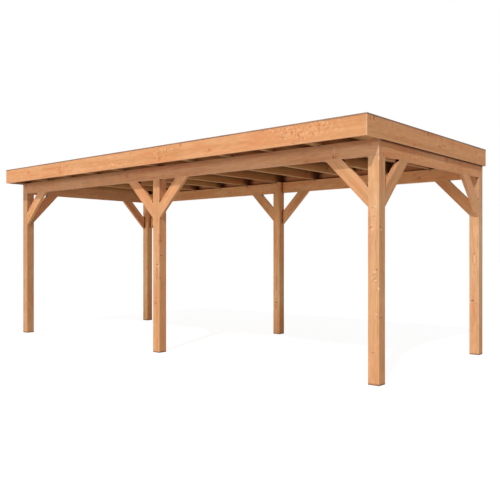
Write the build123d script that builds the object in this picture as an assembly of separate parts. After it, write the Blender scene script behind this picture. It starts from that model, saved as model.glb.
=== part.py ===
from build123d import *

import os
from math import sqrt

# A flat-roofed timber garden veranda on six posts, an open frame from the ground up.
# The origin is on the ground under the middle of the roof. X runs along the roof, Y from front to back, Z up.
# Each piece of timber is a solid of its own, cut and seated as a carpenter would join it.

# Frame: six posts in two rows, measured over the outer faces of the posts
frame_length = 6072.0
frame_depth = 2505.0
post_width = 115.0
headroom = 2110.0
beam_height = 155.0
beam_thickness = 45.0

# Knee braces, all cut alike at 45 degrees
brace_thickness = 45.0
brace_width = 130.0
brace_reach = 470.0

# Roof: rafters from front to back, a deck, a rubber skin, fascia boards and an edge trim
rafter_thickness = 45.0
rafter_height = 145.0
rafter_overhang = 236.0
rafter_place_shares = (-1.0, -0.793, -0.592, -0.4, -0.213, 0.0, 0.213, 0.4, 0.592, 0.793, 1.0)
deck_thickness = 18.0
fascia_thickness = 28.0
fascia_height = 195.0
fascia_lap = 10.0
membrane_thickness = 2.0
trim_thickness = 2.0
trim_leg = 12.0
trim_flange = 40.0

# Planed timber: the long edges are eased, and one overrun serves all cuts
arris = 2.0
cut_overrun = 20.0

# Levels
beam_top = headroom + beam_height
rafter_top = beam_top + rafter_height
deck_top = rafter_top + deck_thickness
fascia_bottom = beam_top - fascia_lap
fascia_top = fascia_bottom + fascia_height
lip_top = fascia_top + membrane_thickness
roof_top = lip_top + trim_thickness

# Outlines in plan: the frame's box lies inside the roof's box, which is centred on the origin
roof_edge = fascia_thickness + trim_thickness
roof_length = frame_length + 2 * roof_edge
roof_depth = frame_depth + rafter_overhang + 2 * roof_edge
right_face = frame_length / 2
left_face = -right_face
back_face = roof_depth / 2 - roof_edge
front_face = back_face - frame_depth
rafter_front = front_face - rafter_overhang

ALL_SIDES = ("front", "back", "left", "right")


def box(low, high):
    """A block between two opposite corners."""
    size = [b - a for a, b in zip(low, high)]
    return Pos(*low) * Box(*size, align=(Align.MIN, Align.MIN, Align.MIN))


def timber(low, high, along):
    """A planed length of timber whose edges along one axis are eased."""
    block = box(low, high)
    return chamfer(block.edges().filter_by(along), arris)


def post(place_x, row, housing):
    """A post with its head cut back for the beams, which leaves a tongue on the inner corner.

    place_x is the post's middle, row is front or back, and housing is the side that takes a side beam.
    """
    low_x = place_x - post_width / 2
    high_x = place_x + post_width / 2
    low_y = front_face if row == "front" else back_face - post_width
    high_y = low_y + post_width
    body = timber((low_x, low_y, 0), (high_x, high_y, beam_top), Axis.Z)

    long_cut_y = low_y if row == "front" else high_y - beam_thickness
    long_cut = box(
        (low_x - cut_overrun, long_cut_y - (cut_overrun if row == "front" else 0), headroom),
        (high_x + cut_overrun, long_cut_y + beam_thickness + (cut_overrun if row == "back" else 0),
         beam_top + cut_overrun),
    )
    side_cut_x = low_x if housing == "left" else high_x - beam_thickness
    side_cut = box(
        (side_cut_x - (cut_overrun if housing == "left" else 0), low_y - cut_overrun, headroom),
        (side_cut_x + beam_thickness + (cut_overrun if housing == "right" else 0), high_y + cut_overrun,
         beam_top + cut_overrun),
    )
    return body - long_cut - side_cut


def long_beam(row):
    """The front or back beam, in one length over three posts and flush with their outer faces."""
    low_y = front_face if row == "front" else back_face - beam_thickness
    return timber(
        (left_face, low_y, headroom), (right_face, low_y + beam_thickness, beam_top), Axis.X
    )


def side_beam(side):
    """The beam over the two posts at one end, between the front beam and the back beam."""
    low_x = left_face if side == "left" else right_face - beam_thickness
    return timber(
        (low_x, front_face + beam_thickness, headroom),
        (low_x + beam_thickness, back_face - beam_thickness, beam_top),
        Axis.Y,
    )


def brace(corner, away, normal):
    """A knee brace in the corner between a post and the beam above it.

    corner is the meeting point of the post's face, the beam's underside and the frame's outer face,
    away points along the beam from the post, and normal points into the frame.
    """
    seat = brace_reach - sqrt(2) * brace_width
    plane = Plane(origin=corner, x_dir=away, z_dir=normal)
    up = 1 if plane.y_dir.Z > 0 else -1
    outline = Polyline(
        (0, -up * brace_reach), (0, -up * seat), (seat, 0), (brace_reach, 0), close=True
    )
    block = extrude(plane * make_face(outline), amount=brace_thickness)
    slope = Axis(corner, Vector(*away) + Vector(0, 0, 1))
    return chamfer(block.edges().filter_by(slope), arris)


def rafter(share):
    """One rafter across both long beams, running on in front to carry the front fascia."""
    middle = share * (frame_length - rafter_thickness) / 2
    return timber(
        (middle - rafter_thickness / 2, rafter_front, beam_top),
        (middle + rafter_thickness / 2, back_face, rafter_top),
        Axis.Y,
    )


def roof_block(reach, low_z, high_z):
    """A block over the whole roof frame, reaching a given way past the outer ends of the rafters."""
    return box(
        (left_face - reach, rafter_front - reach, low_z), (right_face + reach, back_face + reach, high_z)
    )


def roof_membrane():
    """The rubber skin: a flat sheet turned up at the edges and lapped over the tops of the fascia."""
    sheet = roof_block(0, deck_top, lip_top)
    lip = roof_block(fascia_thickness, fascia_top, lip_top)
    tray = roof_block(-membrane_thickness, deck_top + membrane_thickness, lip_top + cut_overrun)
    return sheet + lip - tray


def fascia_ring():
    """All four fascia boards as one ring, with the outer edges eased."""
    block = roof_block(fascia_thickness, fascia_bottom, fascia_top)
    level_edges = block.edges().filter_by(Axis.Z, reverse=True)
    return chamfer(level_edges, arris) - roof_block(0, fascia_bottom - cut_overrun, fascia_top + cut_overrun)


def trim_ring():
    """All four lengths of metal edge trim as one ring: a flange on the roof's edge and a leg outside."""
    flange = roof_block(roof_edge, lip_top, roof_top)
    flange -= roof_block(roof_edge - trim_flange, lip_top - cut_overrun, roof_top + cut_overrun)
    leg = roof_block(roof_edge, roof_top - trim_leg, roof_top)
    leg -= roof_block(fascia_thickness, roof_top - trim_leg - cut_overrun, roof_top + cut_overrun)
    return flange + leg


def mitre_wedge(side):
    """The part of the plan that belongs to one side of a ring, bounded by the mitres at its two corners."""
    end_x = roof_length / 2
    end_y = roof_depth / 2
    mitre_x = end_x - end_y
    corners = {
        "front": ((-end_x, -end_y), (end_x, -end_y), (mitre_x, 0), (-mitre_x, 0)),
        "back": ((end_x, end_y), (-end_x, end_y), (-mitre_x, 0), (mitre_x, 0)),
        "left": ((-end_x, end_y), (-end_x, -end_y), (-mitre_x, 0)),
        "right": ((end_x, -end_y), (end_x, end_y), (mitre_x, 0)),
    }
    outline = make_face(Polyline(*corners[side], close=True))
    height = roof_top - fascia_bottom + 2 * cut_overrun
    return Pos(0, 0, fascia_bottom - cut_overrun) * extrude(outline, amount=height)


def frame_pieces():
    """Posts, beams and braces by name."""
    pieces = {}
    places = {
        "left": left_face + post_width / 2,
        "middle": 0,
        "right": right_face - post_width / 2,
    }
    for row in ("front", "back"):
        for name, place_x in places.items():
            housing = "right" if name == "right" else "left"
            pieces[f"post_{row}_{name}"] = post(place_x, row, housing)
        pieces[f"{row}_beam"] = long_beam(row)
    for side in ("left", "right"):
        pieces[f"{side}_beam"] = side_beam(side)

    half_post = post_width / 2
    for row in ("front", "back"):
        face = front_face if row == "front" else back_face
        inward = (0, 1, 0) if row == "front" else (0, -1, 0)
        for name, place_x in places.items():
            for toward, sign in (("left", -1), ("right", 1)):
                if name == toward:
                    continue
                corner = (place_x + sign * half_post, face, headroom)
                pieces[f"brace_{row}_{name}_to_{toward}"] = brace(corner, (sign, 0, 0), inward)
    for side in ("left", "right"):
        face = left_face if side == "left" else right_face
        inward = (1, 0, 0) if side == "left" else (-1, 0, 0)
        front_corner = (face, front_face + post_width, headroom)
        back_corner = (face, back_face - post_width, headroom)
        pieces[f"brace_{side}_front"] = brace(front_corner, (0, 1, 0), inward)
        pieces[f"brace_{side}_back"] = brace(back_corner, (0, -1, 0), inward)
    return pieces


def roof_pieces():
    """Rafters, deck, skin, fascia boards and edge trim by name."""
    pieces = {}
    for number, share in enumerate(rafter_place_shares, start=1):
        pieces[f"rafter_{number:02d}"] = rafter(share)
    pieces["roof_deck"] = roof_block(0, rafter_top, deck_top)
    pieces["roof_membrane"] = roof_membrane()
    fascia = fascia_ring()
    trim = trim_ring()
    for side in ALL_SIDES:
        wedge = mitre_wedge(side)
        pieces[f"fascia_{side}"] = fascia & wedge
        pieces[f"roof_trim_{side}"] = trim & wedge
    return pieces


def main():
    """Write each piece to a file of its own."""
    os.makedirs("parts", exist_ok=True)
    for name, solid in {**frame_pieces(), **roof_pieces()}.items():
        export_step(solid, f"parts/{name}.step")


main()
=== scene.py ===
"""Looks of a flat-roofed timber garden veranda: planed softwood, a rubber roof skin and a metal edge trim.

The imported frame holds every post, beam, brace, rafter and fascia board. This script gives each of them its
own length of figured softwood, lays the roof boards, drives the screws and lights the whole on a pale floor.
"""

import itertools
import logging
import math
import random
from dataclasses import dataclass, replace
from enum import Enum

import bmesh
import bpy
from mathutils import Euler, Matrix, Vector


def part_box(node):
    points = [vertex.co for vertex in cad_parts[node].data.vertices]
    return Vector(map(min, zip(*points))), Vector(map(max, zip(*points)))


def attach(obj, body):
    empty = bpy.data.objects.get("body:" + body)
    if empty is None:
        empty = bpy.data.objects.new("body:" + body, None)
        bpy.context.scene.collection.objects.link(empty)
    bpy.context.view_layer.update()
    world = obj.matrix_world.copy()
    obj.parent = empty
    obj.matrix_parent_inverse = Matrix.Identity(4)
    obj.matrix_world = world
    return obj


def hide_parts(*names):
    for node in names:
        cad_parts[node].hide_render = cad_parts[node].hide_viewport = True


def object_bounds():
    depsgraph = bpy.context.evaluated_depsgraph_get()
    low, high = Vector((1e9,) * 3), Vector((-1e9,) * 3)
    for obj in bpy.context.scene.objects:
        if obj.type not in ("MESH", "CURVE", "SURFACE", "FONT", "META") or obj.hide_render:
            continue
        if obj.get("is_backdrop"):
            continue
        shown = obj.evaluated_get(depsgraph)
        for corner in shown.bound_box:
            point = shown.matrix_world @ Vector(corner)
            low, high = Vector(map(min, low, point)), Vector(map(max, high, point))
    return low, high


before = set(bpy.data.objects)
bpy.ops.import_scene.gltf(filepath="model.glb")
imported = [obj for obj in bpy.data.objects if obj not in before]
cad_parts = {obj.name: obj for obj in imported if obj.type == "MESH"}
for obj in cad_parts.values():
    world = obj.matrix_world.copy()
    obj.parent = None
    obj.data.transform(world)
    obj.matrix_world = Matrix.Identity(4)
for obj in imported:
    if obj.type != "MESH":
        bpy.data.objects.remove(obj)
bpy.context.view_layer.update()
BODY = "root"
UP = Vector((0, 0, 1))
LOG = logging.getLogger("veranda")

Colour = tuple[float, float, float]
Place = tuple[float, float, float]
Range = tuple[float, float]
Names = tuple[str, ...]
Tree = bpy.types.NodeTree
Node = bpy.types.Node
Socket = bpy.types.NodeSocket
Sockets = bpy.types.bpy_prop_collection
Material = bpy.types.Material
Value = Socket | float | int | tuple


def srgb(red: int, green: int, blue: int) -> Colour:
    """Turn an eight-bit display colour into the linear colour that shaders use."""
    shares = (red / 255, green / 255, blue / 255)
    return tuple(s / 12.92 if s <= 0.04045 else ((s + 0.055) / 1.055) ** 2.4 for s in shares)


class Grain(Enum):
    """The ways that a timber's grain can run, as the turn that lays it along X."""

    ALONG_X = (0, 0, 0)
    ALONG_Y = (0, 0, -90)
    UPRIGHT = (0, 90, 0)
    RISING_X = (0, 45, 0)
    FALLING_X = (0, 135, 0)
    RISING_Y = (-45, 0, -90)
    FALLING_Y = (-135, 0, -90)

    @property
    def turn(self) -> Euler:
        """The turn as an Euler rotation."""
        return Euler([math.radians(a) for a in self.value])

    @property
    def direction(self) -> Vector:
        """The grain's direction in the frame."""
        return self.turn.to_matrix().inverted() @ Vector((1, 0, 0))


# How a brace runs, by the last word of its name
BRACE_GRAINS = {"right": Grain.RISING_X, "left": Grain.FALLING_X, "front": Grain.RISING_Y,
                "back": Grain.FALLING_Y}
BRACE_WAYS = {"right": (1, 0, 0), "left": (-1, 0, 0), "front": (0, 1, 0), "back": (0, -1, 0)}


class Tone(Enum):
    """How the colour of one length of timber leans, as gains on its red, green and blue; the shade lifts and
    the shade deepening among them are painted light and shade.
    """

    PLAIN = (1.0, 1.0, 1.0)
    LIGHT = (1.18, 1.24, 1.2)
    PALE = (1.1, 1.16, 1.12)
    YELLOW = (0.94, 1.00, 1.02)
    STRAW = (0.93, 1.00, 1.06)
    AMBER = (0.97, 0.94, 0.91)
    RUDDY = (0.95, 0.86, 0.8)
    DULL = (0.93, 0.93, 0.93)
    BROWN = (0.89, 0.89, 0.93)
    OLIVE = (0.86, 0.93, 0.97)
    UMBER = (0.8, 0.83, 0.84)

    def on(self, colour: Colour) -> Colour:
        """The tone laid on a colour."""
        return tuple(min(part * gain, 1.0) for part, gain in zip(colour, self.value))


class Layer(Enum):
    """The figure's noises: features per metre along and across the grain, a shift of the seed, and detail."""

    WANDER = (0.9, 4.0, 0.0, 2.0)
    RIPPLE = (5.0, 22.0, 0.0, 2.0)
    LIVELY = (0.8, 26.0, 61.0, 2.0)
    FIBRE = (7.0, 320.0, 0.0, 3.0)
    STREAK = (0.35, 13.0, 5.0, 3.0)
    CLOUD = (1.5, 6.0, 11.0, 3.0)
    BLUSH = (1.3, 15.0, 23.0, 3.0)
    PATCH = (1.1, 5.0, 41.0, 1.0)
    FLECK = (17.0, 4.0, 31.0, 1.0)
    SPECK = (8.0, 64.0, 71.0, 3.0)
    MOTTLE = (44.0, 36.0, 53.0, 3.0)


@dataclass(frozen=True)
class Knot:
    """A knot at its own place in a length of timber, or a pale mark where its dark is below nought: mostly a
    pale fleck of the wood, on two arrises a painted highlight.
    """

    centre: Place
    reach: Place
    dark: float


@dataclass(frozen=True)
class Whorl:
    """A stretch of timber where many small branches grew and left the wood mottled."""

    centre: Place
    reach: Place


Marks = tuple[Knot | Whorl, ...]


class Graph:
    """A helper that places and wires nodes in one shader tree."""

    def __init__(self, tree: Tree) -> None:
        """Take hold of the tree to fill."""
        self.tree = tree

    def feed(self, socket: Socket, value: Value) -> None:
        """Link a socket into an input, or write a plain value there.

        Args:
            socket: The input to fill.
            value: A socket to link from, or a value.
        """
        if isinstance(value, Socket):
            self.tree.links.new(value, socket)
        else:
            if isinstance(value, tuple) and socket.type == "RGBA" and len(value) == 3:
                value = (*value, 1.0)
            socket.default_value = value

    def wire(self, sockets: Sockets, **values: Value) -> None:
        """Feed inputs by name, with spaces in their names written as underscores."""
        for name, value in values.items():
            self.feed(sockets[name.replace("_", " ").title()], value)

    def put(self, kind: str, settings: dict[str, object], *ordered: Value, **named: Value) -> Sockets:
        """Place a node and fill its inputs.

        Args:
            kind: The shader node's kind.
            settings: Properties to set on the node.
            *ordered: What goes into its first inputs, in order.
            **named: What goes into others, with spaces in their names written as underscores.

        Returns:
            The node's outputs.
        """
        node = self.tree.nodes.new(f"ShaderNode{kind}")
        for name, value in settings.items():
            setattr(node, name, value)
        for socket, value in zip(node.inputs, ordered):
            self.feed(socket, value)
        self.wire(node.inputs, **named)
        return node.outputs

    def math(self, operation: str, *numbers: Value) -> Socket:
        """Do a sum on numbers."""
        return self.put("Math", {"operation": operation}, *numbers)[0]

    def vector(self, operation: str, *vectors: Value) -> Sockets:
        """Do a sum on vectors, which gives a vector and a value."""
        return self.put("VectorMath", {"operation": operation}, *vectors)

    def plus(self, first: Value, second: Value) -> Socket:
        """Add two numbers."""
        return self.math("ADD", first, second)

    def less(self, first: Value, second: Value) -> Socket:
        """Take the second number from the first."""
        return self.math("SUBTRACT", first, second)

    def times(self, first: Value, second: Value) -> Socket:
        """Multiply two numbers."""
        return self.math("MULTIPLY", first, second)

    def rest(self, value: Value) -> Socket:
        """Find what a share leaves of the whole."""
        return self.less(1.0, value)

    def length(self, first: Value, second: Value) -> Socket:
        """Find how long the step is that two numbers at right angles make."""
        return self.math("SQRT", self.plus(self.times(first, first), self.times(second, second)))

    def fade(self, value: Value) -> Socket:
        """Fall softly from 1 to 0 as a value leaves nought."""
        return self.math("EXPONENT", self.times(self.times(value, value), -1.0))

    def noise(self, place: Value, rate: Place, seed: Value, detail: float = 2.0) -> Socket:
        """Sample a noise from 0 to 1, with so many features per metre along each axis."""
        spot = self.vector("MULTIPLY", place, rate)[0]
        return self.put("TexNoise", {"noise_dimensions": "4D"}, vector=spot, w=seed, scale=1.0,
                        detail=detail)["Fac"]

    def layer(self, place: Value, seed: Value, layer: Layer) -> Socket:
        """Sample one of the figure's noises, which runs along X."""
        along, across, shift, detail = layer.value
        return self.noise(place, (along, across, across), self.plus(seed, shift), detail)

    def step(self, value: Value, low: Value, high: Value) -> Socket:
        """Ease from 0 to 1 as a value passes from low to high."""
        style = {"interpolation_type": "SMOOTHSTEP"}
        return self.put("MapRange", style, value=value, from_min=low, from_max=high)["Result"]

    def spread(self, value: Value, low: float, high: float) -> Socket:
        """Map 0 to 1 onto the range from low to high."""
        return self.put("MapRange", {}, value=value, to_min=low, to_max=high)["Result"]

    def mix(self, share: Value, first: Value, second: Value, blend: str = "MIX") -> Socket:
        """Mix two colours.

        Args:
            share: How much of the second colour is laid on.
            first: The colour below.
            second: The colour on top.
            blend: Blender's name of the blend.

        Returns:
            The mixed colour's socket.
        """
        node = self.tree.nodes.new("ShaderNodeMix")
        node.data_type, node.blend_type = "RGBA", blend
        for name, value in (("Factor_Float", share), ("A_Color", first), ("B_Color", second)):
            socket = next(s for s in node.inputs if s.identifier == name)
            self.feed(socket, value)
        return next(s for s in node.outputs if s.identifier == "Result_Color")

    def lay(self, below: Value, mask: Value, share: Value, colour: Value) -> Socket:
        """Lay a share of a colour on another one through a mask."""
        return self.mix(self.times(mask, share), below, colour)

    def bump(self, height: Value, strength: float, depth: float) -> Socket:
        """Raise a surface by a height from 0 to 1, where 1 is a depth in metres."""
        return self.put("Bump", {}, height=height, strength=strength, distance=depth)[0]

    def group(self, tree: Tree, **inputs: Value) -> Sockets:
        """Place a shared effect and fill its inputs."""
        return self.put("Group", {"node_tree": tree}, **inputs)


class Effects:
    """The shared effects, each a shader node group that is built once."""

    NOISE_MIDDLE = 0.5
    WANDER_DEPTH, RIPPLE_DEPTH = 0.05, 0.006
    LATE_RISE, LATE_FALL = (0.25, 0.88), (0.9, 1.0)
    LIVELY, BLUSHED, PATCHED = (0.3, 0.75), (0.5, 0.66), (0.45, 0.7)
    RING_HEIGHT, FIBRE_HEIGHT, KNOT_HEIGHT = 0.5, 0.6, 0.5
    SEED_STRIDE, WHORL_GAP, KNOT_TURN, SCATTER = 7.31, 0.4, 1.05, 0.95
    GROWTH, STUNTING, LEAST_BRANCH = 2.2, -1.2, 0.0001
    KNOT_EDGE, CORE_START, CORE_EDGE = 0.7, 0.4, 0.8
    SWIRL_REACH, SWIRL_SWELL, SWIRL_BLUSH = 2.6, 0.9, 0.8
    RAGGED_RATE, RAGGED_DEPTH, RAGGED_OVER = (90.0, 90.0, 90.0), 0.006, (0.001, 0.006)
    MARK_RATE, MARK_SEED, MARK_ROUGH, MARK_HALO = (95.0, 95.0, 95.0), 3.0, 0.7, 2.2
    MARK_EDGE, MARK_CORE, MARK_NEAR = (0.75, 1.05), (0.4, 0.8), (0.5, 1.4)
    END_FACING = (0.8, 0.95)
    # Painted light and shade: the edge highlight's bend, facing and breaking noise, and the closed range of
    # the corner shade
    EDGE_BEND, EDGE_SIDE = (0.9, 0.998), (0.2, 0.75)
    WEAR_RATE, WEAR_BROKEN = (9.0, 40.0, 40.0), (0.5, 1.2)
    CLOSED = (0.1, 0.52)
    CLOUD_RATE, MOTTLE_RATE, DUSTY = (1.0, 1.0, 1.0), (9.0, 9.0, 9.0), (0.38, 0.75)

    def __init__(self) -> None:
        """Build every effect."""
        self.figure = self._figure()
        self.knot = self._knot()
        self.end_grain = self._end_grain()
        self.edge_highlight = self._edge_highlight()
        self.crevice_shade = self._crevice()
        self.weather = self._weather()

    @staticmethod
    def _open(name: str, vectors: Names, numbers: Names, outputs: Names) -> tuple[Graph, dict, Sockets]:
        """Start a node group.

        Args:
            name: The group's name.
            vectors: Names of the vectors that go in.
            numbers: Names of the numbers that go in.
            outputs: Names of the numbers that come out.

        Returns:
            The group's graph, the sockets that go in by name, and the sockets that come out.
        """
        tree = bpy.data.node_groups.new(name, "ShaderNodeTree")
        sockets = ((vectors, "INPUT", "Vector"), (numbers, "INPUT", "Float"), (outputs, "OUTPUT", "Float"))
        for names, way, kind in sockets:
            for socket in names:
                tree.interface.new_socket(socket, in_out=way, socket_type=f"NodeSocket{kind}")
        graph = Graph(tree)
        given = {socket.name: socket for socket in tree.nodes.new("NodeGroupInput").outputs}
        return graph, given, tree.nodes.new("NodeGroupOutput").inputs

    def _figure(self) -> Tree:
        """Build the figure of sawn softwood, with the tree's pith on the X axis.

        Returns:
            The node group.
        """
        graph, given, out = self._open(
            "Softwood Figure", ("Place",), ("Seed", "Ring Width", "Knot Size", "Bend", "Whorl"),
            ("Rings", "Fibre", "Streak", "Cloud", "Blush", "Fleck", "Speck", "Mottle", "Knot", "Knot Rim",
             "Height"),
        )
        along, across, up = graph.put("SeparateXYZ", {}, vector=given["Place"])
        radius = graph.length(across, up)
        angle = graph.math("ARCTAN2", up, across)
        knot, rim, swirl, thickness = self._branches(graph, given, along, angle, radius)
        noise = {layer: graph.layer(given["Place"], given["Seed"], layer) for layer in Layer}

        drift = graph.times(noise[Layer.RIPPLE], self.RIPPLE_DEPTH)
        drift = graph.math("MULTIPLY_ADD", noise[Layer.WANDER], self.WANDER_DEPTH, drift)
        swell = graph.plus(graph.times(swirl, graph.times(thickness, self.SWIRL_SWELL)), given["Bend"])
        ring = graph.math("DIVIDE", graph.plus(graph.plus(radius, drift), swell), given["Ring Width"])
        phase = graph.math("FRACT", ring)
        late = graph.times(graph.step(phase, *self.LATE_RISE), graph.rest(graph.step(phase, *self.LATE_FALL)))
        late = graph.times(late, graph.step(noise[Layer.LIVELY], *self.LIVELY))
        blush = graph.step(noise[Layer.BLUSH], *self.BLUSHED)
        blush = graph.math("MAXIMUM", blush, graph.times(swirl, self.SWIRL_BLUSH))
        patch = graph.step(noise[Layer.PATCH], *self.PATCHED)
        fleck = graph.times(graph.less(noise[Layer.FLECK], self.NOISE_MIDDLE), patch)
        mottle = graph.times(graph.less(noise[Layer.MOTTLE], self.NOISE_MIDDLE), given["Whorl"])
        height = graph.times(noise[Layer.FIBRE], self.FIBRE_HEIGHT)
        height = graph.math("MULTIPLY_ADD", late, self.RING_HEIGHT, height)
        height = graph.plus(height, graph.times(knot, self.KNOT_HEIGHT))
        graph.wire(out, rings=late, fibre=noise[Layer.FIBRE], streak=noise[Layer.STREAK],
                   cloud=noise[Layer.CLOUD], blush=blush, fleck=fleck, speck=noise[Layer.SPECK],
                   mottle=mottle, knot=knot, knot_rim=rim, height=height)
        return graph.tree

    def _branches(self, graph: Graph, given: dict, along: Socket, angle: Socket, radius: Socket) -> tuple:
        """Build the knots that branches leave, each a cone that starts at the pith.

        Args:
            graph: The figure's graph.
            given: The figure's inputs by name.
            along: How far along the trunk a point is.
            angle: Where it is round the pith.
            radius: How far from the pith it is.

        Returns:
            Masks of the knots, their rims and the swirl round them, and the branch's thickness there.
        """
        level = graph.math("DIVIDE", along, self.WHORL_GAP)
        level = graph.math("MULTIPLY_ADD", given["Seed"], self.SEED_STRIDE, level)
        turn = graph.math("DIVIDE", angle, self.KNOT_TURN)
        cell = graph.put("CombineXYZ", {}, x=level, y=turn)[0]
        branch = graph.put("TexVoronoi", {"voronoi_dimensions": "2D"}, vector=cell, scale=1.0,
                           randomness=self.SCATTER)
        apart = graph.vector("SUBTRACT", cell, branch["Position"])[0]
        away = graph.put("SeparateXYZ", {}, vector=apart)
        away_round = graph.times(graph.times(away[1], self.KNOT_TURN), radius)
        distance = graph.length(graph.times(away[0], self.WHORL_GAP), away_round)
        chance = graph.put("SeparateColor", {}, color=branch["Color"])[0]
        grown = graph.math("MULTIPLY_ADD", chance, self.GROWTH, self.STUNTING)
        thickness = graph.math("MAXIMUM", graph.times(grown, given["Knot Size"]), self.LEAST_BRANCH)
        ragged = graph.noise(given["Place"], self.RAGGED_RATE, given["Seed"], 1.0)
        ragged = graph.math("MULTIPLY_ADD", ragged, self.RAGGED_DEPTH, -self.RAGGED_DEPTH / 2)
        rough = graph.plus(distance, graph.times(ragged, graph.step(thickness, *self.RAGGED_OVER)))
        knot = graph.rest(graph.step(rough, graph.times(thickness, self.KNOT_EDGE), thickness))
        core_edges = (graph.times(thickness, share) for share in (self.CORE_START, self.CORE_EDGE))
        core = graph.rest(graph.step(rough, *core_edges))
        swirl = graph.fade(graph.math("DIVIDE", distance, graph.times(thickness, self.SWIRL_REACH)))
        return knot, graph.less(knot, core), swirl, thickness

    def _knot(self) -> Tree:
        """Build one knot at a given place.

        Returns:
            The node group.
        """
        graph, given, out = self._open("Knot", ("Place", "Centre", "Reach"), (),
                                       ("Knot", "Rim", "Halo", "Near"))
        away = graph.vector("SUBTRACT", given["Place"], given["Centre"])[0]
        distance = graph.vector("LENGTH", graph.vector("DIVIDE", away, given["Reach"])[0])["Value"]
        ragged = graph.noise(given["Place"], self.MARK_RATE, self.MARK_SEED)
        rough = graph.math("MULTIPLY_ADD", ragged, self.MARK_ROUGH, graph.less(distance, self.MARK_ROUGH / 2))
        knot = graph.rest(graph.step(rough, *self.MARK_EDGE))
        core = graph.rest(graph.step(rough, *self.MARK_CORE))
        halo = graph.fade(graph.math("DIVIDE", distance, self.MARK_HALO))
        near = graph.rest(graph.step(distance, *self.MARK_NEAR))
        graph.wire(out, knot=knot, rim=graph.less(knot, core), halo=halo, near=near)
        return graph.tree

    def _end_grain(self) -> Tree:
        """Build the mask of faces that are cut across the grain.

        Returns:
            The node group.
        """
        graph, given, out = self._open("End Grain", ("Along",), (), ("Mask",))
        normal = graph.put("NewGeometry", {})["True Normal"]
        facing = graph.math("ABSOLUTE", graph.vector("DOT_PRODUCT", normal, given["Along"])["Value"])
        graph.wire(out, mask=graph.step(facing, *self.END_FACING))
        return graph.tree

    def _edge_highlight(self) -> Tree:
        """Build the mask of a painted highlight on the edges that face a given way, broken up by a noise.

        Returns:
            The node group.
        """
        graph, given, out = self._open("Edge Highlight", ("Place", "Toward"), ("Width", "Seed"), ("Mask",))
        eased = graph.put("Bevel", {"samples": 4}, radius=given["Width"])[0]
        flat = graph.put("NewGeometry", {})["True Normal"]
        bend = graph.vector("DOT_PRODUCT", eased, flat)["Value"]
        side = graph.vector("DOT_PRODUCT", eased, given["Toward"])["Value"]
        edge = graph.times(graph.rest(graph.step(bend, *self.EDGE_BEND)), graph.step(side, *self.EDGE_SIDE))
        broken = graph.noise(given["Place"], self.WEAR_RATE, given["Seed"])
        graph.wire(out, mask=graph.times(edge, graph.spread(broken, *self.WEAR_BROKEN)))
        return graph.tree

    def _crevice(self) -> Tree:
        """Build the mask of inner corners and of places under and between parts, where painted shade darkens
        the wood.

        Returns:
            The node group.
        """
        graph, given, out = self._open("Crevice Shade", (), ("Reach",), ("Mask",))
        # Ambient occlusion picks the places where painted shade is laid
        open_share = graph.put("AmbientOcclusion", {"samples": 8}, distance=given["Reach"])["AO"]
        graph.wire(out, mask=graph.step(graph.rest(open_share), *self.CLOSED))
        return graph.tree

    def _weather(self) -> Tree:
        """Build the soft cloud of dust and stain that lies on outdoor surfaces.

        Returns:
            The node group.
        """
        graph, given, out = self._open("Weather", ("Place",), ("Cloud Size", "Seed"), ("Dust", "Mottle"))
        rate = graph.math("DIVIDE", 1.0, given["Cloud Size"])
        spot = graph.put("VectorMath", {"operation": "SCALE"}, vector=given["Place"], scale=rate)[0]
        cloud = graph.noise(spot, self.CLOUD_RATE, given["Seed"], 5.0)
        mottle = graph.noise(spot, self.MOTTLE_RATE, given["Seed"], 3.0)
        graph.wire(out, dust=graph.step(cloud, *self.DUSTY), mottle=mottle)
        return graph.tree


def new_material(name: str) -> tuple[Material, Graph, Node]:
    """Start a material with one shader.

    Args:
        name: The material's name.

    Returns:
        The material, its graph and its shader node.
    """
    material = bpy.data.materials.new(name)
    material.use_nodes = True
    return material, Graph(material.node_tree), material.node_tree.nodes["Principled BSDF"]


@dataclass(frozen=True)
class Stain:
    """A colour of the wood that shows through a mask of the figure, eased over a range if given."""

    mask: str
    colour: str
    share: float
    over: Range | None = None

    def lay(self, graph: Graph, figure: Sockets, wood: Value, colour: Colour) -> Socket:
        """Lay the stain on the wood."""
        mask = graph.step(figure[self.mask], *self.over) if self.over else figure[self.mask]
        return graph.lay(wood, mask, self.share, colour)


# What colours the wood under its fibres, and the knots on top of them
STAINS = (
    Stain("Rings", "late", 0.5),
    Stain("Streak", "deep", 0.7, (0.46, 0.66)),
    Stain("Cloud", "pale", 0.4, (0.42, 0.72)),
    Stain("Blush", "blush", 0.6),
    Stain("Mottle", "blush", 0.6, (0.02, 0.11)),
    Stain("Mottle", "knot", 0.75, (0.08, 0.2)),
    Stain("Mottle", "pale", 0.9, (-0.05, -0.16)),
)
KNOT_STAINS = (Stain("Knot", "knot", 0.42), Stain("Knot Rim", "rim", 0.3))


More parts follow.
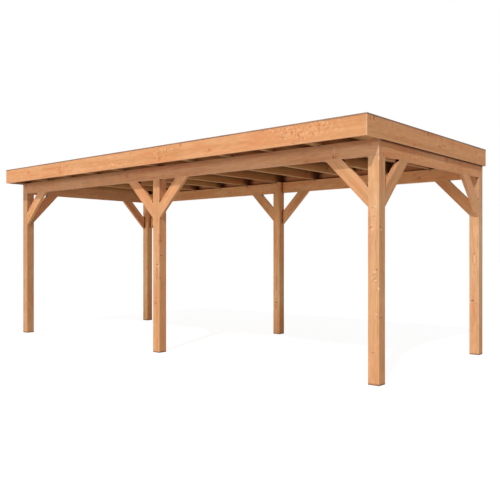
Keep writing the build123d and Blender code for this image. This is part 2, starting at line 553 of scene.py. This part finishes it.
@dataclass(frozen=True)
class TimberFinish:
    """Planed, oiled softwood, with a painted highlight on edges and painted shade in corners."""

    name: str
    early: Colour = srgb(235, 172, 121)
    late: Colour = srgb(207, 139, 90)
    blush: Colour = srgb(228, 147, 101)
    pale: Colour = srgb(247, 194, 146)
    deep: Colour = srgb(214, 152, 99)
    # Colour of the painted highlight on edges, and of the pale flecks
    pale_fleck_and_highlight: Colour = srgb(255, 219, 178)
    knot: Colour = srgb(198, 117, 62)
    rim: Colour = srgb(146, 78, 34)
    end: Colour = srgb(214, 154, 106)
    # Colour of the painted shade in corners and under things
    painted_shade: Colour = srgb(66, 29, 8)
    ring_width: float = 0.0055
    knot_size: float = 0.021
    fibre: Range = (0.88, 1.1)
    speck: Range = (0.74, 1.26)
    fleck: float = 0.28
    halo_share: float = 0.15
    mark_share: float = 0.8
    bend_share: float = 0.3
    end_share: float = 0.7
    end_ring_share: float = 0.5
    # Painted highlight on the edges that face edge_toward: its width, strength and facing
    edge_width: float = 0.007
    edge_share: float = 0.8
    edge_toward: Place = (0.62, -0.7, 0.36)
    # How far the painted shade in corners reaches, and how strongly it is laid
    crevice_reach: float = 0.035
    crevice_share: float = 0.95
    highlight_last: bool = False
    roughness: Range = (0.52, 0.74)
    specular: float = 0.12
    bump: float = 0.12
    bump_depth: float = 0.0012

    def toned(self, tone: Tone) -> "TimberFinish":
        """Lay a tone on every colour of the wood."""
        colours = ("early", "late", "blush", "pale", "deep", "pale_fleck_and_highlight", "knot", "rim", "end")
        return replace(self, **{colour: tone.on(getattr(self, colour)) for colour in colours})

    def material(self, effects: Effects, name: str, grain: Grain, heart: Vector | None, seed: int,
                 marks: Marks = ()) -> Material:
        """Make the finish for one length of timber.

        Args:
            effects: The shared effects.
            name: The material's name.
            grain: The way that the grain runs.
            heart: A point of the tree's pith, or None where the mesh holds its own figure places.
            seed: A number that makes this length unlike the others.
            marks: Knots and whorls that stand at places of their own.

        Returns:
            The material.
        """
        material, graph, shader = new_material(name)
        spot = graph.put("TexCoord", {})["Object"]
        if heart is None:
            place = graph.put("Attribute", {"attribute_name": "figure"})["Vector"]
        else:
            shift = -(grain.turn.to_matrix() @ heart)
            place = graph.put("Mapping", {}, vector=spot, rotation=grain.turn, location=shift)[0]
        bend, whorl, knots = self.marked(graph, effects, spot, marks)
        figure = graph.group(effects.figure, place=place, seed=seed, ring_width=self.ring_width,
                             knot_size=self.knot_size, bend=bend, whorl=whorl)
        end = graph.group(effects.end_grain, along=tuple(grain.direction))["Mask"]
        toward = tuple(Vector(self.edge_toward).normalized())
        edges = graph.group(effects.edge_highlight, place=place, toward=toward, width=self.edge_width, seed=seed)
        crevice_shade = graph.group(effects.crevice_shade, reach=self.crevice_reach)

        wood = self.figured(graph, figure)
        for knot, rim, halo, dark in knots:
            # A dark below nought lays a pale mark: a fleck of the wood, and on two arrises a painted
            # highlight
            if dark < 0:
                wood = graph.lay(wood, knot, -dark, self.pale_fleck_and_highlight)
                continue
            wood = graph.lay(wood, halo, self.halo_share, self.pale)
            wood = graph.lay(wood, knot, self.mark_share * dark, self.knot)
            wood = graph.lay(wood, rim, self.mark_share * dark, self.rim)
        rings = graph.lay(self.end, figure["Rings"], self.end_ring_share, self.late)
        wood = graph.lay(wood, end, self.end_share, rings)
        # Painted highlight on edges and painted shade in corners, laid over the wood in turn
        layers = [(edges, self.edge_share, self.pale_fleck_and_highlight), (crevice_shade, self.crevice_share, self.painted_shade)]
        for effect, share, colour in reversed(layers) if self.highlight_last else layers:
            wood = graph.lay(wood, effect["Mask"], share, colour)
        graph.wire(shader.inputs, base_color=wood, roughness=graph.spread(figure["Fibre"], *self.roughness),
                   normal=graph.bump(figure["Height"], self.bump, self.bump_depth))
        shader.inputs["Specular IOR Level"].default_value = self.specular
        return material

    def marked(self, graph: Graph, effects: Effects, spot: Socket, marks: Marks) -> tuple:
        """Set out the knots and whorls that stand at places of their own.

        Args:
            graph: The material's graph.
            effects: The shared effects.
            spot: The place in the frame.
            marks: The knots and whorls.

        Returns:
            How far the rings bend round the knots, the share of whorl, and each knot's masks and darkness.
        """
        bend: Value = 0.0
        whorl: Value = 0.0
        knots = []
        for mark in marks:
            masks = graph.group(effects.knot, place=spot, centre=mark.centre, reach=mark.reach)
            if isinstance(mark, Whorl):
                whorl = graph.math("MAXIMUM", whorl, masks["Near"])
            else:
                bend = graph.math("MULTIPLY_ADD", masks["Halo"], self.bend_share * min(mark.reach), bend)
                knots.append((masks["Knot"], masks["Rim"], masks["Halo"], mark.dark))
        return bend, whorl, knots

    def figured(self, graph: Graph, figure: Sockets) -> Socket:
        """Colour the figure of the wood.

        Args:
            graph: The material's graph.
            figure: The outputs of the figure effect.

        Returns:
            The colour's socket.
        """
        wood: Value = self.early
        for stain in STAINS:
            wood = stain.lay(graph, figure, wood, getattr(self, stain.colour))
        fibre = graph.spread(figure["Fibre"], *self.fibre)
        fibre = graph.times(fibre, graph.spread(figure["Speck"], *self.speck))
        fleck = graph.math("MULTIPLY_ADD", figure["Fleck"], self.fleck, 1.0)
        wood = graph.mix(1.0, wood, graph.times(fibre, fleck), "MULTIPLY")
        for stain in KNOT_STAINS:
            wood = stain.lay(graph, figure, wood, getattr(self, stain.colour))
        return wood


@dataclass(frozen=True)
class WeatheredFinish:
    """A sheet of rubber or metal that has been out in the weather."""

    name: str
    colour: Colour
    dust: Colour
    dust_share: float = 1.0
    roughness: Range = (0.34, 0.62)
    rough_mask: str = "Mottle"
    metallic: float = 0.85
    cloud_size: float = 0.25
    seed: float = 8.0
    bump: float = 0.0
    bump_depth: float = 0.004

    def material(self, effects: Effects) -> Material:
        """Make the finish.

        Args:
            effects: The shared effects.

        Returns:
            The material.
        """
        material, graph, shader = new_material(self.name)
        place = graph.put("TexCoord", {})["Object"]
        weather = graph.group(effects.weather, place=place, cloud_size=self.cloud_size, seed=self.seed)
        colour = graph.lay(self.colour, weather["Dust"], self.dust_share, self.dust)
        rough = graph.spread(weather[self.rough_mask], *self.roughness)
        graph.wire(shader.inputs, base_color=colour, roughness=rough, metallic=self.metallic)
        if self.bump:
            graph.wire(shader.inputs, normal=graph.bump(weather["Mottle"], self.bump, self.bump_depth))
        return material


FRAME_TIMBER = TimberFinish("Frame Timber")
# The front beam takes less painted corner shade
FRONT_TIMBER = replace(FRAME_TIMBER, crevice_share=0.2)
# Fascia boards: a painted highlight on their lower front edges, and painted shade reaching further into
# corners
FASCIA_TIMBER = TimberFinish("Fascia Timber", ring_width=0.0065, edge_width=0.014, edge_share=0.7,
                             edge_toward=(0.5, -0.75, -0.45), crevice_reach=0.12)
# Roof timber: the frame's softwood painted darker as shade under the roof, with a painted highlight on its
# downward edges and painted shade reaching deep into the bays
SHADED_ROOF_TIMBER = TimberFinish(
    "Shaded Roof Timber", early=srgb(197, 148, 96), late=srgb(169, 116, 66), pale=srgb(207, 162, 111),
    blush=srgb(188, 121, 74), deep=srgb(179, 124, 73), pale_fleck_and_highlight=srgb(252, 216, 170), knot=srgb(146, 88, 48),
    rim=srgb(110, 62, 34), painted_shade=srgb(66, 25, 4), edge_width=0.018, edge_share=0.85,
    edge_toward=(0.1, -0.1, -0.99), crevice_reach=0.21, crevice_share=0.86, highlight_last=True, specular=0.05,
)
# Roof boards: the painted-shade roof timber lifted by a painted-light tone, with less painted corner shade
BOARD_TIMBER = replace(SHADED_ROOF_TIMBER.toned(Tone.LIGHT), name="Roof Boards", crevice_reach=0.05,
                       crevice_share=0.4)
ROOF_RUBBER = WeatheredFinish("Roof Rubber", srgb(52, 52, 53), srgb(104, 101, 95), dust_share=0.6,
                              roughness=(0.55, 0.85), rough_mask="Dust", metallic=0.0, cloud_size=0.9,
                              seed=3.0, bump=0.25)
TRIM_METAL = WeatheredFinish("Edge Trim", srgb(158, 118, 92), srgb(136, 100, 78), metallic=0.25)
SCREW_METAL = WeatheredFinish("Screws", srgb(150, 128, 104), srgb(104, 88, 72))

# LIGHT and PALE paint light on timbers that stand in the roof's shade; BROWN paints shade on the front beam
# under the fascia; the other tones are colours of single lengths
TONED = {
    Tone.LIGHT: ("back_beam",),
    Tone.PALE: ("post_back_middle", "post_back_left", "brace_back_middle_to_left",
                "brace_back_middle_to_right", "brace_back_left_to_right", "brace_back_right_to_left"),
    Tone.BROWN: ("front_beam",),
    Tone.OLIVE: ("left_beam",),
    Tone.RUDDY: ("right_beam",),
    Tone.UMBER: ("post_front_left",),
    Tone.DULL: ("post_front_middle", "brace_front_right_to_left", "brace_right_front"),
    Tone.YELLOW: ("post_front_right",),
    Tone.STRAW: ("post_back_right",),
    Tone.AMBER: ("fascia_front", "fascia_back", "fascia_left", "fascia_right"),
}
TONES = {node: tone for tone, nodes in TONED.items() for node in nodes}


def front(x: float, z: float, wide: float, high: float, dark: float, deep: float = 0.03) -> Knot:
    """Place a knot on a timber's front face, by its half width, half height, darkness and depth."""
    return Knot((x, 0.0, z), (wide, deep, high), dark)


# Knots, whorls and two painted highlights by timber, with places measured from the timber's lowest corner
MARKS = {
    "post_front_right": (
        # The first mark, pale along the head's right arris, is a painted highlight
        front(0.111, 2.085, 0.008, 0.025, -0.4, 0.02), front(0.049, 1.633, 0.012, 0.009, 0.6, 0.02),
        front(0.072, 1.642, 0.016, 0.01, -0.4, 0.02), front(0.062, 1.553, 0.022, 0.007, 0.35, 0.02),
        front(0.032, 1.455, 0.019, 0.006, 1.0, 0.02), front(0.02, 1.445, 0.016, 0.006, 0.4, 0.02),
        front(0.052, 1.435, 0.01, 0.018, -0.35, 0.02),
        Knot((0.115, 0.022, 1.457), (0.02, 0.016, 0.01), 0.6),
        Knot((0.115, 0.06, 1.447), (0.02, 0.016, 0.007), 0.5),
        Knot((0.115, 0.03, 1.43), (0.02, 0.03, 0.009), -0.35),
        front(0.092, 1.063, 0.009, 0.012, 0.8, 0.02), front(0.066, 1.041, 0.022, 0.014, -0.3, 0.02),
        front(0.07, 1.02, 0.03, 0.006, 0.3, 0.02), front(0.039, 0.987, 0.008, 0.011, -0.5, 0.02),
        front(0.071, 0.978, 0.014, 0.007, 0.7, 0.02), front(0.052, 0.966, 0.009, 0.007, 0.5, 0.02),
        front(0.08, 0.966, 0.008, 0.008, -0.8, 0.02), front(0.05, 0.948, 0.008, 0.006, 0.4, 0.02),
        front(0.08, 0.948, 0.008, 0.006, 0.4, 0.02), front(0.11, 0.887, 0.01, 0.018, -0.5, 0.02),
        front(0.092, 0.877, 0.008, 0.006, 0.5, 0.02), front(0.09, 0.652, 0.009, 0.009, -0.6, 0.02),
        front(0.094, 0.637, 0.01, 0.009, 0.45, 0.02),
        Knot((0.115, 0.03, 0.624), (0.02, 0.05, 0.007), 0.5),
        front(0.053, 0.3, 0.016, 0.007, 0.5, 0.02),
    ),
    "post_front_middle": (
        front(0.108, 1.38, 0.012, 0.085, 0.35), Knot((0.115, 0.035, 1.183), (0.03, 0.022, 0.008), 0.8),
        front(0.068, 1.112, 0.01, 0.007, 0.6), front(0.07, 0.965, 0.025, 0.075, 0.35),
        front(0.074, 1.074, 0.018, 0.01, 1.0), front(0.074, 1.074, 0.012, 0.008, 1.0),
        front(0.098, 1.05, 0.01, 0.014, -0.5), front(0.058, 0.67, 0.035, 0.007, 0.5),
    ),
    "post_back_middle": (
        front(0.06, 0.76, 0.018, 0.13, 0.4), front(0.05, 0.41, 0.016, 0.04, 0.4),
        front(0.103, 0.52, 0.012, 0.06, -0.25), front(0.068, 0.531, 0.012, 0.009, 0.8),
        front(0.056, 0.472, 0.02, 0.011, 1.0), front(0.056, 0.472, 0.012, 0.009, 1.0),
    ),
    "post_back_right": (
        front(0.1, 1.36, 0.006, 0.085, 0.35), front(0.058, 1.207, 0.022, 0.007, 0.7),
        front(0.038, 1.14, 0.005, 0.055, 0.35), front(0.062, 1.14, 0.012, 0.05, -0.3),
        front(0.088, 1.14, 0.006, 0.055, 0.45), front(0.07, 1.077, 0.025, 0.006, 0.35),
        front(0.055, 0.985, 0.01, 0.03, 0.3), front(0.041, 0.645, 0.024, 0.01, 1.0),
        front(0.036, 0.646, 0.018, 0.01, 1.0), front(0.036, 0.646, 0.012, 0.009, 1.0),
        front(0.075, 0.614, 0.035, 0.005, 0.3),
    ),
    "front_beam": (
        front(5.58, 0.028, 0.01, 0.02, 1.0), front(5.59, 0.095, 0.013, 0.045, -0.3),
        # The last mark, pale at the beam's right end, is a painted highlight
        front(6.068, 0.05, 0.008, 0.045, -0.5),
    ),
    "fascia_right": (
        Knot((0.028, 0.12, 0.165), (0.02, 0.012, 0.024), 1.0),
        Knot((0.028, 1.22, 0.172), (0.02, 0.016, 0.022), 1.0),
        Knot((0.028, 1.5, 0.08), (0.03, 0.045, 0.012), 0.5),
        Knot((0.028, 1.62, 0.1), (0.03, 0.05, 0.01), 0.4),
        Knot((0.028, 0.46, 0.14), (0.02, 0.012, 0.03), 0.35),
    ),
    "fascia_front": (
        Whorl((5.42, 0.0, 0.14), (0.55, 0.1, 0.12)), Whorl((3.42, 0.0, 0.13), (0.3, 0.1, 0.1)),
        Whorl((1.52, 0.0, 0.1), (0.25, 0.1, 0.1)), Whorl((2.54, 0.0, 0.11), (0.12, 0.1, 0.08)),
    ),
}


@dataclass
class Carpentry:
    """Gives each length of timber in the frame its own figure."""

    effects: Effects
    tones: dict[str, Tone]
    marks: dict[str, Marks]
    seed: int = 41
    seed_count: int = 1000
    heart_gap: float = 0.055
    heart_spread: float = 0.05

    def __post_init__(self) -> None:
        """Set up the draws, which come out alike in every run."""
        self.draws = random.Random(self.seed)

    @staticmethod
    def grain_of(node: str) -> Grain:
        """Tell how the grain of a timber runs from the timber's name.

        Args:
            node: The node's name.

        Returns:
            The grain.
        """
        if node.startswith("post"):
            return Grain.UPRIGHT
        if node.startswith("rafter") or node in ("left_beam", "right_beam", "fascia_left", "fascia_right"):
            return Grain.ALONG_Y
        if node.startswith("brace"):
            return BRACE_GRAINS[node.split("_")[-1]]
        return Grain.ALONG_X

    def heart(self, node: str, grain: Grain) -> Vector:
        """Choose where the pith of a timber's tree ran, behind the timber's broad face.

        Args:
            node: The node's name.
            grain: The way that the grain runs.

        Returns:
            A point of the pith.
        """
        low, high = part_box(node)
        turn = grain.turn.to_matrix()
        corners = [turn @ Vector(corner) for corner in itertools.product(*zip(low, high))]
        nearest = min(c.y for c in corners)
        middle = sum(c.z for c in corners) / len(corners)
        start = min(c.x for c in corners)
        away = self.heart_gap + self.heart_spread * self.draws.random()
        aside = self.heart_spread * (self.draws.random() - 0.5)
        return turn.inverted() @ Vector((start, nearest - away, middle + aside))

    def dress(self, node: str, finish: TimberFinish) -> None:
        """Put a length of softwood's finish on a timber.

        Args:
            node: The node's name.
            finish: The finish.
        """
        grain = self.grain_of(node)
        heart = self.heart(node, grain)
        seed = self.draws.randrange(self.seed_count)
        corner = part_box(node)[0]
        marks = tuple(replace(mark, centre=tuple(corner + Vector(mark.centre)))
                      for mark in self.marks.get(node, ()))
        toned = finish.toned(self.tones.get(node, Tone.PLAIN))
        wear(node, toned.material(self.effects, f"{finish.name} {node}", grain, heart, seed, marks))


def wear(node: str, material: Material) -> None:
    """Put a material on a node of the frame.

    Args:
        node: The node's name.
        material: The material.
    """
    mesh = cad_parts[node].data
    mesh.materials.clear()
    mesh.materials.append(material)
    LOG.info("dressed %s", node)


def piece(name: str, shape: bmesh.types.BMesh, material: Material) -> bpy.types.Object:
    """Add a piece that rides on the frame.

    Args:
        name: The piece's name.
        shape: Its shape, in the frame's own place.
        material: Its finish.

    Returns:
        The new object.
    """
    mesh = bpy.data.meshes.new(name)
    shape.to_mesh(mesh)
    shape.free()
    mesh.materials.append(material)
    made = bpy.data.objects.new(name, mesh)
    bpy.context.scene.collection.objects.link(made)
    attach(made, BODY)
    LOG.info("made %s with %d faces", name, len(mesh.polygons))
    return made


@dataclass
class Posts:
    """The post and beam frame with its knee braces."""

    carpentry: Carpentry

    def dress(self) -> None:
        """Give every post, beam and brace its figure."""
        for node in sorted(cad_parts):
            if node.startswith(("post", "brace")) or node.endswith("beam"):
                self.carpentry.dress(node, FRONT_TIMBER if node == "front_beam" else FRAME_TIMBER)


@dataclass
class Roof:
    """Rafters, roof boards, rubber skin, fascia and edge trim."""

    carpentry: Carpentry
    effects: Effects
    board_width: float = 0.1498
    board_gap: float = 0.0006
    groove: float = 0.004
    boards_seed: int = 77
    figure_seed: int = 5
    joint_rafters: tuple[int, ...] = (4, 6, 8)
    tree_run: Range = (0.0, 40.0)
    pith_depth: Range = (0.04, 0.12)
    pith_aside: Range = (-0.03, 0.03)

    def dress(self) -> None:
        """Finish the roof's nodes and lay its boards."""
        for node in sorted(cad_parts):
            if node.startswith("rafter"):
                self.carpentry.dress(node, SHADED_ROOF_TIMBER)
            elif node.startswith("fascia"):
                self.carpentry.dress(node, FASCIA_TIMBER)
        wear("roof_membrane", ROOF_RUBBER.material(self.effects))
        trim = TRIM_METAL.material(self.effects)
        for side in ("front", "back", "left", "right"):
            wear(f"roof_trim_{side}", trim)
        self.lay_boards()

    def lay_boards(self) -> None:
        """Lay the deck as grooved boards across the rafters, each row in two lengths that meet on one."""
        low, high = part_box("roof_deck")
        rows = round((high.y - low.y) / self.board_width)
        width = (high.y - low.y) / rows
        joints = [sum(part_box(f"rafter_{number:02d}"), Vector()).x / 2 for number in self.joint_rafters]
        draws = random.Random(self.boards_seed)
        made = bmesh.new()
        figure = made.verts.layers.float_vector.new("figure")
        for row in range(rows):
            joint = joints[row % len(joints)]
            start = low.y + row * width
            for left, right in ((low.x, joint), (joint, high.x)):
                self.lay_board(made, figure, draws, (left, start, low.z), (right, start + width, high.z))
        finish = BOARD_TIMBER.material(self.effects, BOARD_TIMBER.name, Grain.ALONG_X, None, self.figure_seed)
        boards = piece("roof_boards", made, finish)
        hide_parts("roof_deck")

    def lay_board(self, made: bmesh.types.BMesh, figure: object, draws: random.Random, low: Place,
                  high: Place) -> None:
        """Lay one board, with the edges of its underside eased into half a groove.

        Args:
            made: The mesh that takes the board.
            figure: The layer that holds each point's place in the tree.
            draws: The draws for the board's place in its tree.
            low: The board's lowest corner.
            high: The board's highest corner.
        """
        near, far = low[1] + self.board_gap / 2, high[1] - self.board_gap / 2
        section = ((near + self.groove, low[2]), (far - self.groove, low[2]), (far, low[2] + self.groove),
                   (far, high[2]), (near, high[2]), (near, low[2] + self.groove))
        shift = Vector([draws.uniform(*span) for span in (self.tree_run, self.pith_depth, self.pith_aside)])
        middle = (near + far) / 2
        rings = []
        for x in (low[0] + self.board_gap / 2, high[0] - self.board_gap / 2):
            ring = []
            for y, z in section:
                vert = made.verts.new((x, y, z))
                vert[figure] = Vector((x, z - low[2], y - middle)) + shift
                ring.append(vert)
            rings.append(ring)
        first, last = rings
        count = len(section)
        made.faces.new(reversed(first))
        made.faces.new(last)
        for i in range(count):
            made.faces.new((first[i], first[(i + 1) % count], last[(i + 1) % count], last[i]))


@dataclass
class Fixings:
    """Round-headed screws that hold the frame from inside, and nails that hold the trim."""

    effects: Effects
    sides: int = 12
    screw_radius: float = 0.0055
    nail_radius: float = 0.0036
    height_share: float = 0.4
    rim_share: float = 0.55
    eased_share: float = 0.84
    socket_share: float = 0.46
    socket_taper: float = 0.9
    socket_depth_share: float = 0.26
    sunk: float = 0.0003
    tongue_heights: Range = (0.04, 0.115)
    brace_shares: Range = (0.09, 0.91)
    nail_gap: float = 0.4
    nail_inset: float = 0.022

    def build(self) -> None:
        """Drive every screw and nail."""
        made = bmesh.new()
        for at, outward in self.tongue_places() + self.brace_places():
            self.drive(made, at, outward, self.screw_radius)
        for at in self.nail_places():
            self.drive(made, at, UP, self.nail_radius)
        piece("fixings", made, SCREW_METAL.material(self.effects))

    def tongue_places(self) -> list[tuple[Vector, Vector]]:
        """Find where screws go through the tongues of the posts into the beams.

        Returns:
            The screws' places and the ways that their heads face.
        """
        beam_low, beam_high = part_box("front_beam")
        beam = beam_high.y - beam_low.y
        places = []
        for row, inward in (("front", 1), ("back", -1)):
            for name, toward in (("left", 1), ("middle", 1), ("right", -1)):
                low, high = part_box(f"post_{row}_{name}")
                middle = (low + high) / 2 + Vector((toward, inward, 0)) * (beam / 2)
                half = (high.x - low.x - beam) / 2
                ways = [Vector((0, inward, 0))]
                if name != "middle":
                    ways.append(Vector((toward, 0, 0)))
                for height in self.tongue_heights:
                    middle.z = beam_low.z + height
                    places += [(middle + way * half, way) for way in ways]
        return places

    def brace_places(self) -> list[tuple[Vector, Vector]]:
        """Find where screws go through the lower faces of the braces into the posts and beams.

        Returns:
            The screws' places and the ways that their heads face.
        """
        places = []
        for node in sorted(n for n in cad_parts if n.startswith("brace")):
            low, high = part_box(node)
            away = Vector(BRACE_WAYS[node.split("_")[-1]])
            reach = high.z - low.z
            for share in self.brace_shares:
                at = (low + high) / 2 + (away + UP) * (reach * (share - 0.5))
                places.append((at, (away - UP).normalized()))
        return places

    def nail_places(self) -> list[Vector]:
        """Find where nails go through the trim's flange, evenly along each side.

        Returns:
            The nails' places.
        """
        low, high = map(Vector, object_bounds())
        plan = ((low.x, low.y), (high.x, low.y), (high.x, high.y), (low.x, high.y))
        corners = [Vector((x, y, high.z)) for x, y in plan]
        places = []
        for first, last in zip(corners, corners[1:] + corners[:1]):
            run = last - first
            inward = UP.cross(run.normalized())
            count = round(run.length / self.nail_gap)
            for number in range(count):
                places.append(first + run * ((number + 0.5) / count) + inward * self.nail_inset)
        return places

    def drive(self, made: bmesh.types.BMesh, at: Vector, outward: Vector, radius: float) -> None:
        """Add one round head with an eased rim and a socket.

        Args:
            made: The mesh that takes the head.
            at: The head's middle on the timber's face.
            outward: The way that the head faces.
            radius: The head's radius.
        """
        across = outward.orthogonal().normalized()
        up = outward.cross(across)
        height = radius * self.height_share
        floor = height - radius * self.socket_depth_share
        socket = radius * self.socket_share
        outline = ((radius, -self.sunk), (radius, height * self.rim_share),
                   (radius * self.eased_share, height), (socket, height), (socket * self.socket_taper, floor))
        turns = [2 * math.pi * i / self.sides for i in range(self.sides)]
        spokes = [across * math.cos(turn) + up * math.sin(turn) for turn in turns]
        rings = [[made.verts.new(at + outward * level + spoke * reach) for spoke in spokes]
                 for reach, level in outline]
        for lower, upper in zip(rings, rings[1:]):
            for i in range(self.sides):
                j = (i + 1) % self.sides
                made.faces.new((lower[i], lower[j], upper[j], upper[i]))
        made.faces.new(rings[-1])


@dataclass(frozen=True)
class Lamp:
    """A far lamp that lights the whole object from one side."""

    name: str
    strength: float
    spread: float
    toward: Place

    def build(self) -> None:
        """Hang the lamp."""
        light = bpy.data.lights.new(self.name, "SUN")
        light.energy = self.strength
        light.angle = math.radians(self.spread)
        lamp = bpy.data.objects.new(self.name, light)
        lamp.rotation_mode = "QUATERNION"
        lamp.rotation_quaternion = Vector(self.toward).to_track_quat("Z", "Y")
        bpy.context.scene.collection.objects.link(lamp)


@dataclass
class Stage:
    """The pale floor, the light and the camera."""

    floor_size: float = 120.0
    floor_drop: float = 0.001
    floor_colour: Colour = (0.86, 0.86, 0.86)
    white_share: float = 0.8
    white_strength: float = 1.16
    sky: float = 0.228
    sky_front: float = 0.28
    sun: Lamp = Lamp("sun", 1.68, 1.5, (0.106, -0.26, 0.24))
    fill: Lamp = Lamp("fill", 0.6, 12.0, (-0.4, -0.9, 0.12))
    camera_from_corner: Place = (2.9435, -5.3198, 1.2237)
    camera_turn: float = 41.4312
    lens: float = 46.873
    shift: Range = (0.03, 0.00422)

    def build(self) -> None:
        """Set the stage."""
        self.build_floor()
        self.build_light()
        self.build_camera()
        bpy.context.scene.view_settings.view_transform = "Standard"

    @staticmethod
    def seen(graph: Graph) -> Socket:
        """Tell rays that see the backdrop, straight or by a reflection, from those that carry its light."""
        path = graph.put("LightPath", {})
        return graph.math("MAXIMUM", path["Is Camera Ray"],
                          graph.math("MAXIMUM", path["Is Glossy Ray"], path["Is Transmission Ray"]))

    def build_floor(self) -> None:
        """Lay a wide pale floor that looks white but keeps a faint shadow."""
        half = self.floor_size / 2
        mesh = bpy.data.meshes.new("floor")
        corners = [(-half, -half), (half, -half), (half, half), (-half, half)]
        mesh.from_pydata([(x, y, -self.floor_drop) for x, y in corners], [], [(0, 1, 2, 3)])
        material, graph, shader = new_material("Floor")
        graph.wire(shader.inputs, base_color=self.floor_colour, roughness=1.0)
        shader.inputs["Specular IOR Level"].default_value = 0.0
        glow = graph.put("Emission", {}, strength=self.white_strength)
        share = graph.times(self.seen(graph), self.white_share)
        blend = graph.put("MixShader", {}, share, shader.outputs[0], glow[0])[0]
        graph.feed(material.node_tree.nodes["Material Output"].inputs["Surface"], blend)
        mesh.materials.append(material)
        floor = bpy.data.objects.new("floor", mesh)
        bpy.context.scene.collection.objects.link(floor)
        floor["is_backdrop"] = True

    def build_light(self) -> None:
        """Set the lamps and a sky that is brighter in front, which looks white to the camera."""
        self.sun.build()
        self.fill.build()
        world = bpy.data.worlds.new("sky")
        bpy.context.scene.world = world
        world.use_nodes = True
        graph = Graph(world.node_tree)
        sky = world.node_tree.nodes["Background"]
        sky.inputs["Color"].default_value = (1.0, 1.0, 1.0, 1.0)
        toward = graph.put("TexCoord", {})["Generated"]
        ahead = graph.vector("DOT_PRODUCT", toward, (0.0, -1.0, 0.0))["Value"]
        ahead = graph.math("MAXIMUM", ahead, 0.0)
        glow = graph.math("MULTIPLY_ADD", ahead, self.sky_front, self.sky)
        seen = self.seen(graph)
        hidden = graph.times(glow, graph.rest(seen))
        graph.feed(sky.inputs["Strength"], graph.plus(hidden, seen))

    def build_camera(self) -> None:
        """Stand the camera where the photograph was taken from, off the frame's near corner."""
        low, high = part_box("post_front_right")
        lens = bpy.data.cameras.new("camera")
        lens.lens = self.lens
        lens.shift_x, lens.shift_y = self.shift
        camera = bpy.data.objects.new("camera", lens)
        camera.location = Vector((high.x, low.y, low.z)) + Vector(self.camera_from_corner)
        camera.rotation_euler = (math.radians(90), 0, math.radians(self.camera_turn))
        bpy.context.scene.collection.objects.link(camera)
        bpy.context.scene.camera = camera


def main() -> None:
    """Build and dress the veranda and its stage."""
    logging.basicConfig(level=logging.INFO, format="%(name)s: %(message)s")
    effects = Effects()
    carpentry = Carpentry(effects, TONES, MARKS)
    Posts(carpentry).dress()
    Roof(carpentry, effects).dress()
    Fixings(effects).build()
    Stage().build()


if __name__ == "__main__":
    main()
